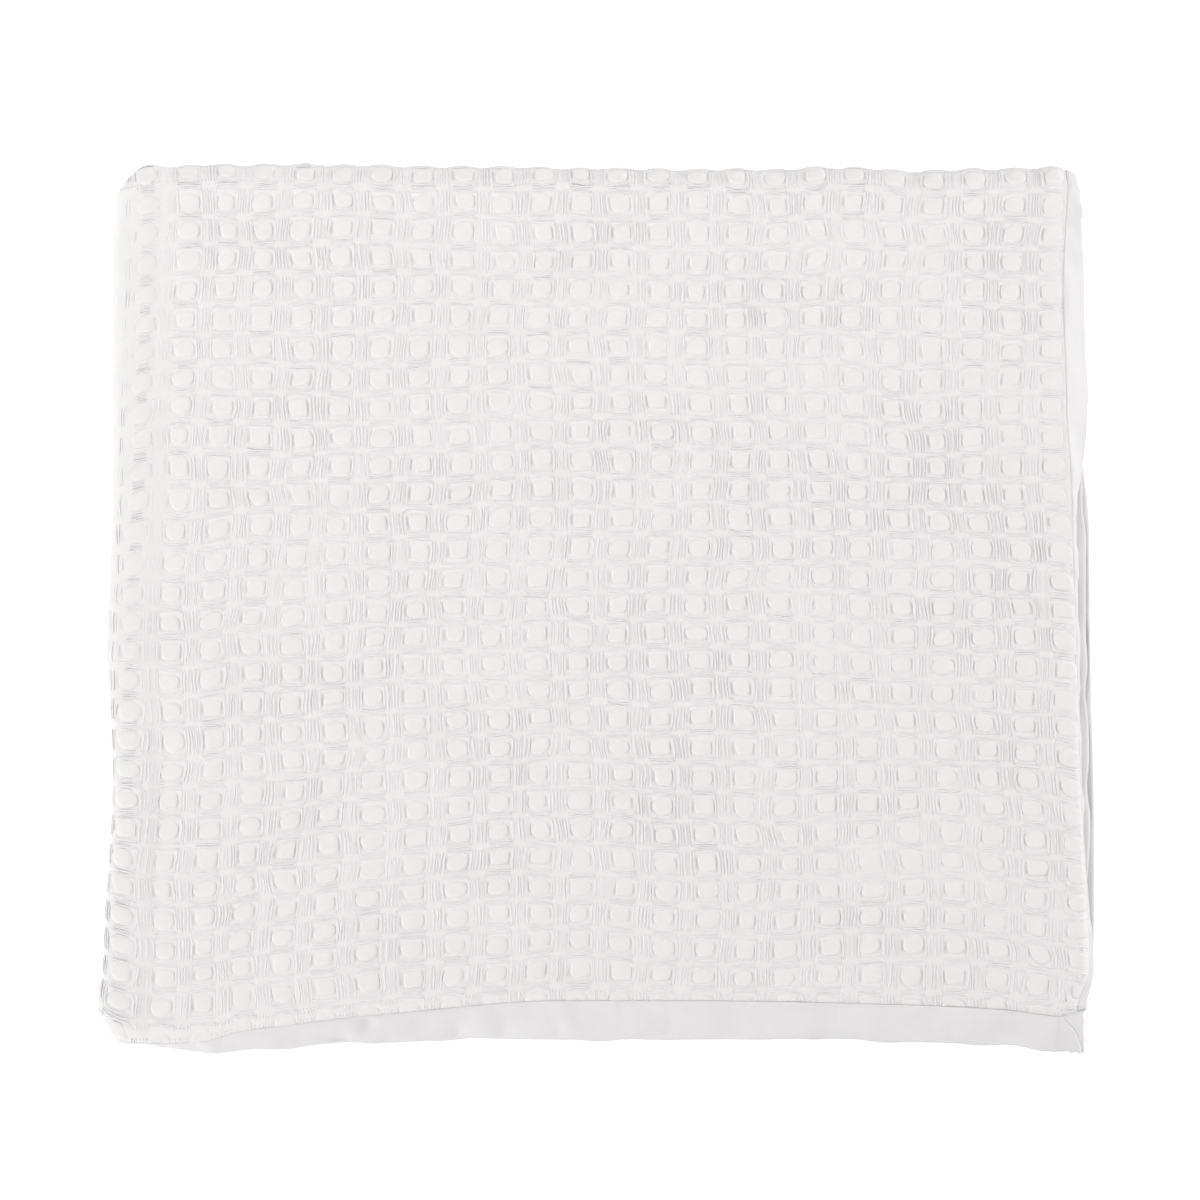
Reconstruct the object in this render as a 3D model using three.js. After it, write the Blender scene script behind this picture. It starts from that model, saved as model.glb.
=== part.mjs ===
// A white washed waffle-weave quilt with a plain-weave binding, folded and lying on a surface.
// The cloth is folded in half across its width, with that fold on the left, and then in thirds
// along its length, back and forth, with one fold at the far edge and one under the near hem.
// Millimetres. X runs right, Y runs away from the viewer and Z runs up.
// The origin is on the surface under the middle of the folded quilt.
import * as THREE from "three";

const clothThickness = 4.8;
const bindingThickness = 3;
const leafSpacing = 6.4; // from one leaf of cloth to the next, middle to middle
const seamGap = 0.9; // between the cloth and its binding, and along each mitre, less where a seam slants
const bindingWidth = 25;
const hemBendRadius = 7.5; // where the near hem hangs over the edge of the stack
const sideBendRadius = 5; // where the upper leaf's side hangs over it

// Heights of the three panels, each at the middle of its two leaves.
const panelPitch = 2 * leafSpacing;
const foldRadius = panelPitch / 2;
const bottomPanel = (leafSpacing + clothThickness) / 2;
const middlePanel = bottomPanel + panelPitch;
const topPanel = middlePanel + panelPitch;
const foldReach = foldRadius + (leafSpacing + clothThickness) / 2;

// A station says how far along the folded length a row lies.
// -2 is the near hem's edge, -1 its seam, 0 where it starts to turn down, 1 to 2 the far fold,
// 3 to 4 the near fold, 5 the seam of the hidden hem and 6 its edge.
// left is the outside of the left fold. edge is the outside of the upper leaf's right side, which
// turns down by angle. seamAt is the cloth's length from where it starts to turn to its seam, and
// width what the binding beyond the seam takes up. lowerEdge is the lower leaf's edge.
const sides = [
  { at: -2, left: -316, edge: 317, angle: 32, seamAt: 3, width: 19, lowerEdge: 302 },
  { at: -1, left: -321, edge: 317, angle: 40, seamAt: 4, width: 20, lowerEdge: 302 },
  { at: 0, left: -325, edge: 319, angle: 45, seamAt: 4.5, width: 20, lowerEdge: 302 },
  { at: 0.05, left: -322.3, edge: 323.7, angle: 70, seamAt: 6, width: 20, lowerEdge: 303 },
  { at: 0.12, left: -320.3, edge: 321.4, angle: 78, seamAt: 6, width: 20, lowerEdge: 303.5 },
  { at: 0.18, left: -318.5, edge: 318.5, angle: 85, seamAt: 5.5, width: 21, lowerEdge: 303.5 },
  { at: 0.3, left: -315.3, edge: 315.6, angle: 86, seamAt: 5.5, width: 21, lowerEdge: 303 },
  { at: 0.45, left: -319.7, edge: 314, angle: 86, seamAt: 4.5, width: 22, lowerEdge: 302 },
  { at: 0.61, left: -316.1, edge: 312.7, angle: 86, seamAt: 2.5, width: 24, lowerEdge: 300.5 },
  { at: 0.67, left: -315.9, edge: 317, angle: 70, seamAt: 2, width: 24, lowerEdge: 300 },
  { at: 0.73, left: -315.9, edge: 320.3, angle: 60, seamAt: 2, width: 24, lowerEdge: 300 },
  { at: 0.86, left: -315.9, edge: 318, angle: 62, seamAt: 2, width: 23, lowerEdge: 300 },
  { at: 0.94, left: -315.6, edge: 316, angle: 56, seamAt: 2, width: 17, lowerEdge: 300 },
  { at: 1, left: -313, edge: 314.8, angle: 42, seamAt: 2, width: 12, lowerEdge: 300 },
  { at: 1.5, left: -304, edge: 313, angle: 42, seamAt: 2, width: 11, lowerEdge: 299.5 },
  { at: 2, left: -309, edge: 311, angle: 16, seamAt: 2, width: 12, lowerEdge: 300 },
  { at: 2.2, left: -312.5, edge: 305, angle: 0, seamAt: 2, width: 25, lowerEdge: 302 },
  { at: 2.6, left: -310, edge: 302.5, angle: 0, seamAt: 2, width: 25, lowerEdge: 300.5 },
  { at: 3, left: -313, edge: 303, angle: 0, seamAt: 2, width: 25, lowerEdge: 301.5 },
  { at: 3.5, left: -306, edge: 302, angle: 0, seamAt: 2, width: 25, lowerEdge: 302 },
  { at: 4, left: -310, edge: 302.5, angle: 0, seamAt: 2, width: 25, lowerEdge: 304 },
  { at: 4.08, left: -311.5, edge: 318, angle: 0, seamAt: 2, width: 25, lowerEdge: 324.3 },
  { at: 4.2, left: -313, edge: 320, angle: 0, seamAt: 2, width: 25, lowerEdge: 324.6 },
  { at: 4.45, left: -311, edge: 319, angle: 0, seamAt: 2, width: 25, lowerEdge: 322 },
  { at: 4.62, left: -312.5, edge: 318, angle: 0, seamAt: 2, width: 25, lowerEdge: 321 },
  { at: 4.75, left: -313.5, edge: 312, angle: 0, seamAt: 2, width: 25, lowerEdge: 314 },
  { at: 5, left: -311.5, edge: 308, angle: 0, seamAt: 2, width: 25, lowerEdge: 309.5 },
  { at: 6, left: -310.5, edge: 307, angle: 0, seamAt: 2, width: 25, lowerEdge: 308.5 },
];

// Across the near hem. hinge is the Y where the top panel starts to turn down, angle how far it
// turns, seamAt the length of cloth from there to the hem's seam, and width the hem's width.
const nearHem = [
  { x: -326, hinge: -255, angle: 88, seamAt: 8.5, width: 22 },
  { x: -316, hinge: -266.2, angle: 90, seamAt: 8.5, width: 22 },
  { x: -300, hinge: -271.5, angle: 90, seamAt: 8.5, width: 22.5 },
  { x: -285, hinge: -272.9, angle: 84, seamAt: 8.5, width: 23 },
  { x: -255, hinge: -271.5, angle: 69, seamAt: 7.5, width: 24 },
  { x: -233, hinge: -266.8, angle: 57, seamAt: 6, width: 25 },
  { x: -203, hinge: -264.1, angle: 52, seamAt: 5, width: 25 },
  { x: -174, hinge: -260.3, angle: 46, seamAt: 5, width: 25 },
  { x: -109, hinge: -254.1, angle: 32, seamAt: 5, width: 25 },
  { x: -77, hinge: -251.8, angle: 20, seamAt: 5, width: 25 },
  { x: -31, hinge: -249.8, angle: 6, seamAt: 5, width: 25.6 },
  { x: 66, hinge: -249.9, angle: 5, seamAt: 5, width: 25.4 },
  { x: 196, hinge: -252.4, angle: 5, seamAt: 5, width: 24.2 },
  { x: 261, hinge: -255.3, angle: 8, seamAt: 5, width: 24.6 },
  { x: 300, hinge: -259.9, angle: 11, seamAt: 5, width: 23.6 },
  { x: 318, hinge: -262, angle: 11, seamAt: 5, width: 24.6 },
];

// Across the folds: how far out the far fold and the near one reach, and the hidden hem's seam.
const folds = [
  { x: -316, far: 279, near: -262, hiddenSeam: 248 },
  { x: -304, far: 283.6, near: -266, hiddenSeam: 249 },
  { x: -289, far: 287.4, near: -268, hiddenSeam: 250 },
  { x: -204, far: 288.7, near: -268, hiddenSeam: 252 },
  { x: -86, far: 287, near: -263, hiddenSeam: 250 },
  { x: -28, far: 286, near: -267, hiddenSeam: 249 },
  { x: 118, far: 285.3, near: -272, hiddenSeam: 251 },
  { x: 150, far: 286.7, near: -272, hiddenSeam: 251 },
  { x: 206, far: 284.4, near: -271, hiddenSeam: 250 },
  { x: 264, far: 285.6, near: -273, hiddenSeam: 249 },
  { x: 304, far: 286.4, near: -271, hiddenSeam: 247 },
  { x: 313, far: 282, near: -270, hiddenSeam: 246 },
];

// The top panel is plump beside its left fold, then dips. height is above the leaf's own level.
const foldCrest = 12; // from the outside of the left fold to its highest line
const leftRidge = [
  { x: 12, height: 2.6 },
  { x: 18, height: 2.2 },
  { x: 26, height: 0.3 },
  { x: 32, height: -0.5 },
  { x: 45, height: 0 },
];
const plumpness = [
  { at: -2, share: 0.3 },
  { at: -1, share: 0.6 },
  { at: 0, share: 1 },
  { at: 0.9, share: 1 },
  { at: 1.5, share: 0.4 },
  { at: 2, share: 0 },
  { at: 6, share: 0 },
];
const flatFoldDepth = 4; // from the outside of the other panels' left folds to where they flatten
const lowerFoldDepth = 6; // the same under the top panel
const turnPlace = -0.98; // the place where the upper leaf's side starts to turn down

// Soft humps and dips in the top leaf. along runs in the direction given by turn, in degrees
// from the X axis, and across runs at right angles to it.
const rumples = [
  { x: -145, y: -76, along: 46, across: 16, turn: 8, height: 1.2 },
  { x: 168, y: -48, along: 40, across: 15, turn: 84, height: 1.3 },
  { x: -172, y: -214, along: 50, across: 20, turn: 70, height: 1.4 },
  { x: -120, y: -206, along: 44, across: 18, turn: 82, height: -1 },
  { x: -252, y: -60, along: 90, across: 16, turn: 86, height: 1 },
  { x: 40, y: 120, along: 80, across: 30, turn: 5, height: -0.8 },
  { x: 60, y: -150, along: 90, across: 26, turn: -6, height: 0.9 },
  { x: 236, y: 110, along: 60, across: 22, turn: 75, height: 0.9 },
];

const rumpleFadeIn = 0.6; // stations over which they fade at the near hem
const rumpleFadeOut = 0.3; // the same into the far fold

const radians = THREE.MathUtils.degToRad;
const lerp = THREE.MathUtils.lerp;
const clamp = THREE.MathUtils.clamp;

// Slope of a table's column at row i, level at each hump and dip so that no curve overshoots.
function slopeAt(rows, key, column, i) {
  const rise = (a, b) => (rows[b][column] - rows[a][column]) / (rows[b][key] - rows[a][key]);
  if (i === 0 || i === rows.length - 1) return 0;
  const before = rise(i - 1, i);
  const after = rise(i, i + 1);
  return before * after <= 0 ? 0 : (2 * before * after) / (before + after);
}

// A smooth curve through a table's rows, read at value.
function read(rows, key, column, value) {
  const last = rows.length - 1;
  if (value <= rows[0][key]) return rows[0][column];
  if (value >= rows[last][key]) return rows[last][column];
  const i = rows.findIndex((row) => row[key] > value) - 1;
  const span = rows[i + 1][key] - rows[i][key];
  const t = (value - rows[i][key]) / span;
  const start = slopeAt(rows, key, column, i) * span;
  const end = slopeAt(rows, key, column, i + 1) * span;
  const a = rows[i][column];
  const b = rows[i + 1][column];
  return a + t * (start + t * (3 * (b - a) - 2 * start - end + t * (2 * (a - b) + start + end)));
}

// A bend of the given radius through angle and then straight on: how far out and how far down a
// point lies, length along from where the bend starts. beyond is its height over the bent line.
function bent(length, radius, angle, beyond) {
  const turned = Math.min(length / radius, angle);
  const straight = Math.max(0, length - radius * angle);
  const out = (radius + beyond) * Math.sin(turned) + straight * Math.cos(angle);
  const down = radius - (radius + beyond) * Math.cos(turned) + straight * Math.sin(angle);
  return { out, down };
}

// Where a thread of the doubled cloth lies across the stack. place is -2 at the upper leaf's
// edge, -1 at its seam, 0 to 1 round the left fold, 2 at the lower leaf's seam, 3 at its edge.
// offset is the height above the middle of the two leaves.
function acrossStack(place, at) {
  const side = (column) => read(sides, "at", column, at);
  const plump = read(plumpness, "at", "share", at);
  const outside = side("left") + clothThickness / 2;
  const crestDepth = lerp(flatFoldDepth, foldCrest, plump);
  const baseDepth = lerp(flatFoldDepth, lowerFoldDepth, plump);
  const half = leafSpacing / 2;
  if (place < 0) {
    const angle = radians(side("angle"));
    const seamAt = side("seamAt");
    const rim = bent(seamAt + side("width"), sideBendRadius, angle, bindingThickness / 2);
    const sideHinge = side("edge") - rim.out;
    if (place < turnPlace) {
      const toSeam = (seamAt * (turnPlace - Math.max(place, -1))) / (turnPlace + 1);
      const beyondSeam = Math.max(0, -1 - place) * side("width");
      const { out, down } = bent(toSeam + beyondSeam, sideBendRadius, angle, 0);
      return { x: sideHinge + out, offset: half - down };
    }
    const x = lerp(outside + crestDepth, sideHinge, place / turnPlace);
    const ridge = read(leftRidge, "x", "height", x - outside - crestDepth + foldCrest);
    return { x, offset: half + ridge * plump };
  }
  if (place <= 1) {
    const turn = place * Math.PI;
    const depth = place < 0.5 ? crestDepth : baseDepth;
    const crest = half + leftRidge[0].height * plump;
    const offset = lerp(-half, crest, (1 + Math.cos(turn)) / 2);
    return { x: outside + depth * (1 - Math.sin(turn)), offset };
  }
  const lowerSeam = side("lowerEdge") - bindingWidth;
  if (place <= 2) return { x: lerp(outside + baseDepth, lowerSeam, place - 1), offset: -half };
  return { x: lowerSeam + (place - 2) * bindingWidth, offset: -half };
}

// Where the same thread lies along the stack and in height.
function alongStack(at, x, offset) {
  const hem = (column) => read(nearHem, "x", column, x);
  const farCentre = read(folds, "x", "far", x) - foldReach;
  const nearCentre = read(folds, "x", "near", x) + foldReach;
  if (at < 0) {
    const length = at > -1 ? -at * hem("seamAt") : hem("seamAt") + (-1 - at) * hem("width");
    const { out, down } = bent(length, hemBendRadius, radians(hem("angle")), offset);
    return { y: hem("hinge") - out, z: topPanel - down };
  }
  if (at <= 1) return { y: lerp(hem("hinge"), farCentre, at), z: topPanel + offset };
  if (at < 2) {
    const turn = (at - 1) * Math.PI;
    const radius = foldRadius + offset;
    const centre = (topPanel + middlePanel) / 2;
    return { y: farCentre + radius * Math.sin(turn), z: centre + radius * Math.cos(turn) };
  }
  if (at <= 3) return { y: lerp(farCentre, nearCentre, at - 2), z: middlePanel - offset };
  if (at < 4) {
    const turn = (at - 3) * Math.PI;
    const radius = foldRadius - offset;
    const centre = (middlePanel + bottomPanel) / 2;
    return { y: nearCentre - radius * Math.sin(turn), z: centre + radius * Math.cos(turn) };
  }
  const seam = read(folds, "x", "hiddenSeam", x);
  if (at <= 5) return { y: lerp(nearCentre, seam, at - 4), z: bottomPanel + offset };
  return { y: seam + (at - 5) * bindingWidth, z: bottomPanel + offset };
}

// The humps and dips, which fade out at the left fold, the far fold and the near hem.
function rumpleHeight(x, y, at, offset) {
  const shown = clamp(offset / (leafSpacing / 2), 0, 1);
  const fadeIn = clamp(at / rumpleFadeIn + 1, 0, 1);
  const fadeOut = clamp((1 - at) / rumpleFadeOut + 1, 0, 1);
  const fade = shown * fadeIn * fadeOut;
  if (fade === 0) return 0;
  return rumples.reduce((sum, hump) => {
    const turn = radians(hump.turn);
    const u = ((x - hump.x) * Math.cos(turn) + (y - hump.y) * Math.sin(turn)) / hump.along;
    const v = ((y - hump.y) * Math.cos(turn) - (x - hump.x) * Math.sin(turn)) / hump.across;
    return sum + fade * hump.height * Math.exp(-(u * u + v * v));
  }, 0);
}

// A point on the middle of the cloth.
function clothPoint(place, at) {
  const { x, offset } = acrossStack(place, at);
  const { y, z } = alongStack(at, x, offset);
  return new THREE.Vector3(x, y, z + rumpleHeight(x, y, at, offset));
}

// The direction out of the cloth's outer face at the same point.
function clothNormal(place, at) {
  const step = 0.002;
  const down = clothPoint(place, at + step).sub(clothPoint(place, at - step));
  const round = clothPoint(place + step, at).sub(clothPoint(place - step, at));
  return down.cross(round).normalize();
}

// A closed solid from a grid of places on the cloth, with half its thickness on either face.
// spot(i, j) gives the place and station of grid point i, j.
function clothSolid(spot, columns, rows, thickness) {
  const positions = [];
  const index = (i, j, inner) => 2 * (i * (rows + 1) + j) + inner;
  for (let i = 0; i <= columns; i++) {
    for (let j = 0; j <= rows; j++) {
      const [place, at] = spot(i, j);
      const middle = clothPoint(place, at);
      const half = clothNormal(place, at).multiplyScalar(thickness / 2);
      positions.push(...middle.clone().add(half).toArray(), ...middle.sub(half).toArray());
    }
  }
  const triangles = [];
  const quad = (a, b, c, d) => triangles.push(a, b, c, a, c, d);
  for (let i = 0; i < columns; i++) {
    for (let j = 0; j < rows; j++) {
      quad(index(i, j, 0), index(i, j + 1, 0), index(i + 1, j + 1, 0), index(i + 1, j, 0));
      quad(index(i + 1, j, 1), index(i + 1, j + 1, 1), index(i, j + 1, 1), index(i, j, 1));
    }
  }
  for (let j = 0; j < rows; j++) {
    quad(index(0, j + 1, 0), index(0, j, 0), index(0, j, 1), index(0, j + 1, 1));
    quad(index(columns, j, 0), index(columns, j + 1, 0), index(columns, j + 1, 1), index(columns, j, 1));
  }
  for (let i = 0; i < columns; i++) {
    quad(index(i, 0, 0), index(i + 1, 0, 0), index(i + 1, 0, 1), index(i, 0, 1));
    quad(index(i + 1, rows, 0), index(i, rows, 0), index(i, rows, 1), index(i + 1, rows, 1));
  }
  const geometry = new THREE.BufferGeometry();
  geometry.setAttribute("position", new THREE.Float32BufferAttribute(positions, 3));
  geometry.setIndex(triangles);
  geometry.computeVertexNormals();
  return geometry;
}

// Evenly spaced values through stretches such as { to: 1, steps: 16 }, from start.
function stretches(start, ...parts) {
  const values = [start];
  for (const { to, steps } of parts) {
    const from = values[values.length - 1];
    for (let i = 1; i <= steps; i++) values.push(lerp(from, to, i / steps));
  }
  return values;
}

// Grid lines across the doubled cloth, close together at the left ridge and fold, and along it.
const places = stretches(-1, { to: turnPlace, steps: 2 }, { to: -0.08, steps: 14 },
  { to: 0, steps: 5 }, { to: 1, steps: 8 }, { to: 1.9, steps: 6 }, { to: 2, steps: 1 });
const stations = stretches(-1, { to: 0, steps: 5 }, { to: 0.12, steps: 6 }, { to: 0.9, steps: 12 },
  { to: 1, steps: 4 }, { to: 2, steps: 8 }, { to: 2.2, steps: 4 }, { to: 3, steps: 4 },
  { to: 4, steps: 8 }, { to: 4.2, steps: 5 }, { to: 5, steps: 8 });
const bindingSteps = 3;
const bindingStart = seamGap / bindingWidth;
const mitreBack = (seamGap * 0.7) / bindingWidth;

// How far across a binding grid line k lies, from 0 at the seam to 1 at the edge.
const shareAcross = (k) => lerp(bindingStart, 1, k / bindingSteps);

// The cloth itself, up to its four seams.
function waffleCloth() {
  const spot = (i, j) => [places[i], stations[j]];
  return clothSolid(spot, places.length - 1, stations.length - 1, clothThickness);
}

// Moves value, which lies at share of a run of grid lines, out by reach if it is at either end of
// the run, and by less within its first or last tenth. So the mitres slant, and the other grid
// lines stay in step with the cloth's.
function spread(value, share, reach) {
  const tenth = 0.1;
  const nearEnd = clamp(1 - share / tenth, 0, 1);
  const farEnd = clamp(1 - (1 - share) / tenth, 0, 1);
  return value - nearEnd * reach + farEnd * reach;
}

// A binding along one long side, mitred at both ends. upper picks the leaf that it edges.
function sideBinding(upper) {
  const spot = (i, j) => {
    const share = shareAcross(upper ? bindingSteps - i : i);
    const run = THREE.MathUtils.mapLinear(stations[j], -1, 5, 0, 1);
    return [upper ? -1 - share : 2 + share, spread(stations[j], run, share - mitreBack)];
  };
  return clothSolid(spot, bindingSteps, stations.length - 1, bindingThickness);
}

// A binding along one short end, round the left fold and mitred at both of its ends.
function endBinding(near) {
  const spot = (i, j) => {
    const share = shareAcross(near ? bindingSteps - j : j);
    const run = THREE.MathUtils.mapLinear(places[i], -1, 2, 0, 1);
    return [spread(places[i], run, share - mitreBack), near ? -1 - share : 5 + share];
  };
  return clothSolid(spot, places.length - 1, bindingSteps, bindingThickness);
}

const waffleWeave = new THREE.MeshStandardMaterial({ color: 0xece9e5, roughness: 0.95, metalness: 0 });
const plainWeave = new THREE.MeshStandardMaterial({ color: 0xe6e3e0, roughness: 0.9, metalness: 0 });

const quilt = new THREE.Group();

function addPiece(name, geometry, material) {
  const mesh = new THREE.Mesh(geometry, material);
  mesh.name = name;
  quilt.add(mesh);
}

addPiece("waffle_cloth", waffleCloth(), waffleWeave);
addPiece("binding_upper_side", sideBinding(true), plainWeave);
addPiece("binding_lower_side", sideBinding(false), plainWeave);
addPiece("binding_near_end", endBinding(true), plainWeave);
addPiece("binding_hidden_end", endBinding(false), plainWeave);

export default quilt;
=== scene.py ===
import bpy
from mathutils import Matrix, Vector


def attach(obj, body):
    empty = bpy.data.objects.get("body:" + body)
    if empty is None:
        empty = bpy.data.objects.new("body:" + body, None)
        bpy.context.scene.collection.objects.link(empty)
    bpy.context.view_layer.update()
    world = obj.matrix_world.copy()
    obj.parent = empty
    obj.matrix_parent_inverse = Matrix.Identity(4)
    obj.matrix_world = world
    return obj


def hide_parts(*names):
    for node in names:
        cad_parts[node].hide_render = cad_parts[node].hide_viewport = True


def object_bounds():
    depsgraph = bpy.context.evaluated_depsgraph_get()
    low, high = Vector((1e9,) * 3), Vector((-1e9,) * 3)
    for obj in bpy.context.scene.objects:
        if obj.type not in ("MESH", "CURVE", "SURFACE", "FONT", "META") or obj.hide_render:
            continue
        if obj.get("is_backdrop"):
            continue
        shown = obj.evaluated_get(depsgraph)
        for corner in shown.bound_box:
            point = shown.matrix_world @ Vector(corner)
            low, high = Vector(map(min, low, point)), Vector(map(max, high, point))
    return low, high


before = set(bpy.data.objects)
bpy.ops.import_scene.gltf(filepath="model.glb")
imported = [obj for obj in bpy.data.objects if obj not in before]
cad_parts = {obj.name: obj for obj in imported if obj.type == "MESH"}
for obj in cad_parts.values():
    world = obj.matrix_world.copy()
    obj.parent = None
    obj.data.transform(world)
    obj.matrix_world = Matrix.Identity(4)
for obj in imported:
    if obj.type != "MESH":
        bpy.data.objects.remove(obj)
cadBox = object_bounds()
print("frame loaded")
import bpy
import numpy as np

# A white waffle-weave quilt with a plain-weave binding, folded in half and then in thirds

# Lengths are in millimetres, as in the CAD source, until a mesh is made
millimetre = 0.001


def table(names, *rows):
    return {name: np.array([row[i] for row in rows], float) for i, name in enumerate(names.split())}


# The cloth's own sizes and the stack's, as the CAD solids have them
cloth = {
    "thickness": 4.8,
    "bindingThickness": 3.0,
    "bindingWidth": 25.0,
    "leafSpacing": 6.4,
    "hemBend": 7.5,  # radius where the near hem hangs over
    "sideBend": 5.0,  # radius where the upper leaf's side hangs over
}
panelPitch = 2 * cloth["leafSpacing"]
foldRadius = panelPitch / 2
bottomPanel = (cloth["leafSpacing"] + cloth["thickness"]) / 2
middlePanel = bottomPanel + panelPitch
topPanel = middlePanel + panelPitch
foldReach = foldRadius + (cloth["leafSpacing"] + cloth["thickness"]) / 2

# Stations along the length: -2 near hem's edge, -1 its seam, 0 where it turns down, 1 to 2 the far
# fold, 3 to 4 the near fold, 5 the hidden hem's seam and 6 its edge
sides = table(
    "at left edge angle seamAt width lowerEdge",
    (-2, -316, 317, 32, 3, 19, 302),
    (-1, -321, 317, 40, 4, 20, 302),
    (-0.3, -324, 318.5, 44, 14, 10.5, 302),
    (0, -325, 319, 45, 15, 9.5, 302),
    (0.05, -322.3, 323.7, 70, 14, 12, 303),
    (0.12, -320.3, 321.4, 78, 10, 16, 303.5),
    (0.18, -318.5, 318.5, 85, 6.5, 20, 303.5),
    (0.3, -315.3, 315.6, 86, 5.5, 21, 303),
    (0.45, -319.7, 314, 86, 4.5, 22, 302),
    (0.61, -316.1, 312.7, 86, 2.5, 24, 300.5),
    (0.67, -315.9, 317, 70, 2, 24, 300),
    (0.73, -315.9, 320.3, 52, 2, 24, 300),
    (0.86, -315.9, 318, 50, 2, 23, 300),
    (0.94, -315.6, 316, 46, 2, 17, 300),
    (1, -313, 314.8, 42, 2, 12, 300),
    (1.5, -304, 313, 42, 2, 11, 299.5),
    (2, -309, 311, 16, 2, 12, 300),
    (2.2, -312.5, 305, 0, 2, 25, 302),
    (2.6, -310, 302.5, 0, 2, 25, 300.5),
    (3, -313, 303, 0, 2, 25, 301.5),
    (3.5, -306, 302, 0, 2, 25, 302),
    (4, -310, 302.5, 0, 2, 25, 304),
    (4.08, -311.5, 318, 0, 2, 25, 324.3),
    (4.2, -313, 320, 0, 2, 25, 324.6),
    (4.45, -311, 319, 0, 2, 25, 322),
    (4.62, -312.5, 318, 0, 2, 25, 321),
    (4.75, -313.5, 312, 0, 2, 25, 314),
    (5, -311.5, 308, 0, 2, 25, 309.5),
    (6, -310.5, 307, 0, 2, 25, 308.5),
)
nearHem = table(
    "x hinge angle seamAt width",
    (-326, -255, 88, 8.5, 22),
    (-316, -266.2, 90, 8.5, 22),
    (-300, -271.5, 90, 8.5, 22.5),
    (-285, -272.9, 84, 8.5, 23),
    (-255, -271.5, 69, 7.5, 24),
    (-233, -266.8, 57, 6, 25),
    (-203, -264.1, 52, 5, 25),
    (-174, -260.3, 46, 5, 25),
    (-109, -254.1, 32, 5, 25),
    (-77, -251.8, 20, 5, 25),
    (-31, -249.8, 6, 5, 25.6),
    (66, -249.9, 5, 5, 25.4),
    (196, -252.4, 5, 5, 24.2),
    (261, -255.3, 8, 5, 24.6),
    (300, -259.9, 11, 5, 23.6),
    (318, -262, 11, 5, 24.6),
)
folds = table(
    "x far near hiddenSeam",
    (-316, 279, -262, 248),
    (-304, 283.6, -266, 249),
    (-289, 287.4, -268, 250),
    (-204, 288.7, -268, 252),
    (-86, 287, -263, 250),
    (-28, 286, -267, 249),
    (118, 285.3, -272, 251),
    (150, 286.7, -272, 251),
    (206, 284.4, -271, 250),
    (264, 285.6, -273, 249),
    (304, 286.4, -271, 247),
    (313, 282, -270, 246),
)
foldCrest = 12  # from the outside of the left fold to the top panel's highest line
flatFoldDepth = 4
lowerFoldDepth = 6
turnPlace = -0.98  # where the upper leaf's side starts to turn down
leftRidge = table("x height", (12, 2.6), (18, 2.2), (26, 0.3), (32, -0.5), (45, 0))
plumpness = table("at share", (-2, 0.3), (-1, 0.6), (0, 1), (0.9, 1), (1.5, 0.4), (2, 0), (6, 0))
rumples = table(
    "x y along across turn height",
    (-145, -76, 46, 16, 8, 1.2),
    (168, -48, 40, 15, 84, 1.3),
    (-172, -214, 50, 20, 70, 1.4),
    (-120, -206, 44, 18, 82, -1),
    (-252, -60, 90, 16, 86, 1),
    (40, 120, 80, 30, 5, -0.8),
    (60, -150, 90, 26, -6, 0.9),
    (236, 110, 60, 22, 75, 0.9),
)
rumpleFadeIn = 0.6
rumpleFadeOut = 0.3


def lerp(a, b, t):
    return a + (b - a) * t


def read(rows, key, column, value):
    # A smooth curve through a table's rows, level at each hump and dip
    x = rows[key]
    y = rows[column]
    rise = np.diff(y) / np.diff(x)
    slope = np.zeros(len(x))
    same = rise[:-1] * rise[1:] > 0
    total = np.where(same, rise[:-1] + rise[1:], 1)
    slope[1:-1] = np.where(same, 2 * rise[:-1] * rise[1:] / total, 0)
    value = np.clip(value, x[0], x[-1])
    i = np.clip(np.searchsorted(x, value, side="right") - 1, 0, len(x) - 2)
    span = x[i + 1] - x[i]
    t = (value - x[i]) / span
    start = slope[i] * span
    end = slope[i + 1] * span
    step = y[i + 1] - y[i]
    return y[i] + t * (start + t * (3 * step - 2 * start - end + t * (start + end - 2 * step)))


class Drift:
    # Smooth random drift over the cloth, from -1 to 1, with one value at each corner of a coarse grid

    def __init__(self, seed, cell):
        self.cell = cell
        self.count = 100
        self.values = np.random.default_rng(seed).uniform(-1, 1, (self.count, self.count))

    def corner(self, i, j):
        return self.values[i % self.count, j % self.count]

    def at(self, u, v):
        u = np.asarray(u, float) / self.cell
        v = np.asarray(v, float) / self.cell
        i = np.floor(u).astype(int)
        j = np.floor(v).astype(int)
        s = u - i
        t = v - j
        s = s * s * (3 - 2 * s)
        t = t * t * (3 - 2 * t)
        low = lerp(self.corner(i, j), self.corner(i + 1, j), s)
        high = lerp(self.corner(i, j + 1), self.corner(i + 1, j + 1), s)
        return lerp(low, high, t)


def bent(length, radius, angle, beyond):
    # How far out and down cloth reaches after hanging over a round edge, at a height beyond its middle
    turned = np.minimum(length / radius, angle)
    straight = np.maximum(0, length - radius * angle)
    out = (radius + beyond) * np.sin(turned) + straight * np.cos(angle)
    down = radius - (radius + beyond) * np.cos(turned) + straight * np.sin(angle)
    return out, down


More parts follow.
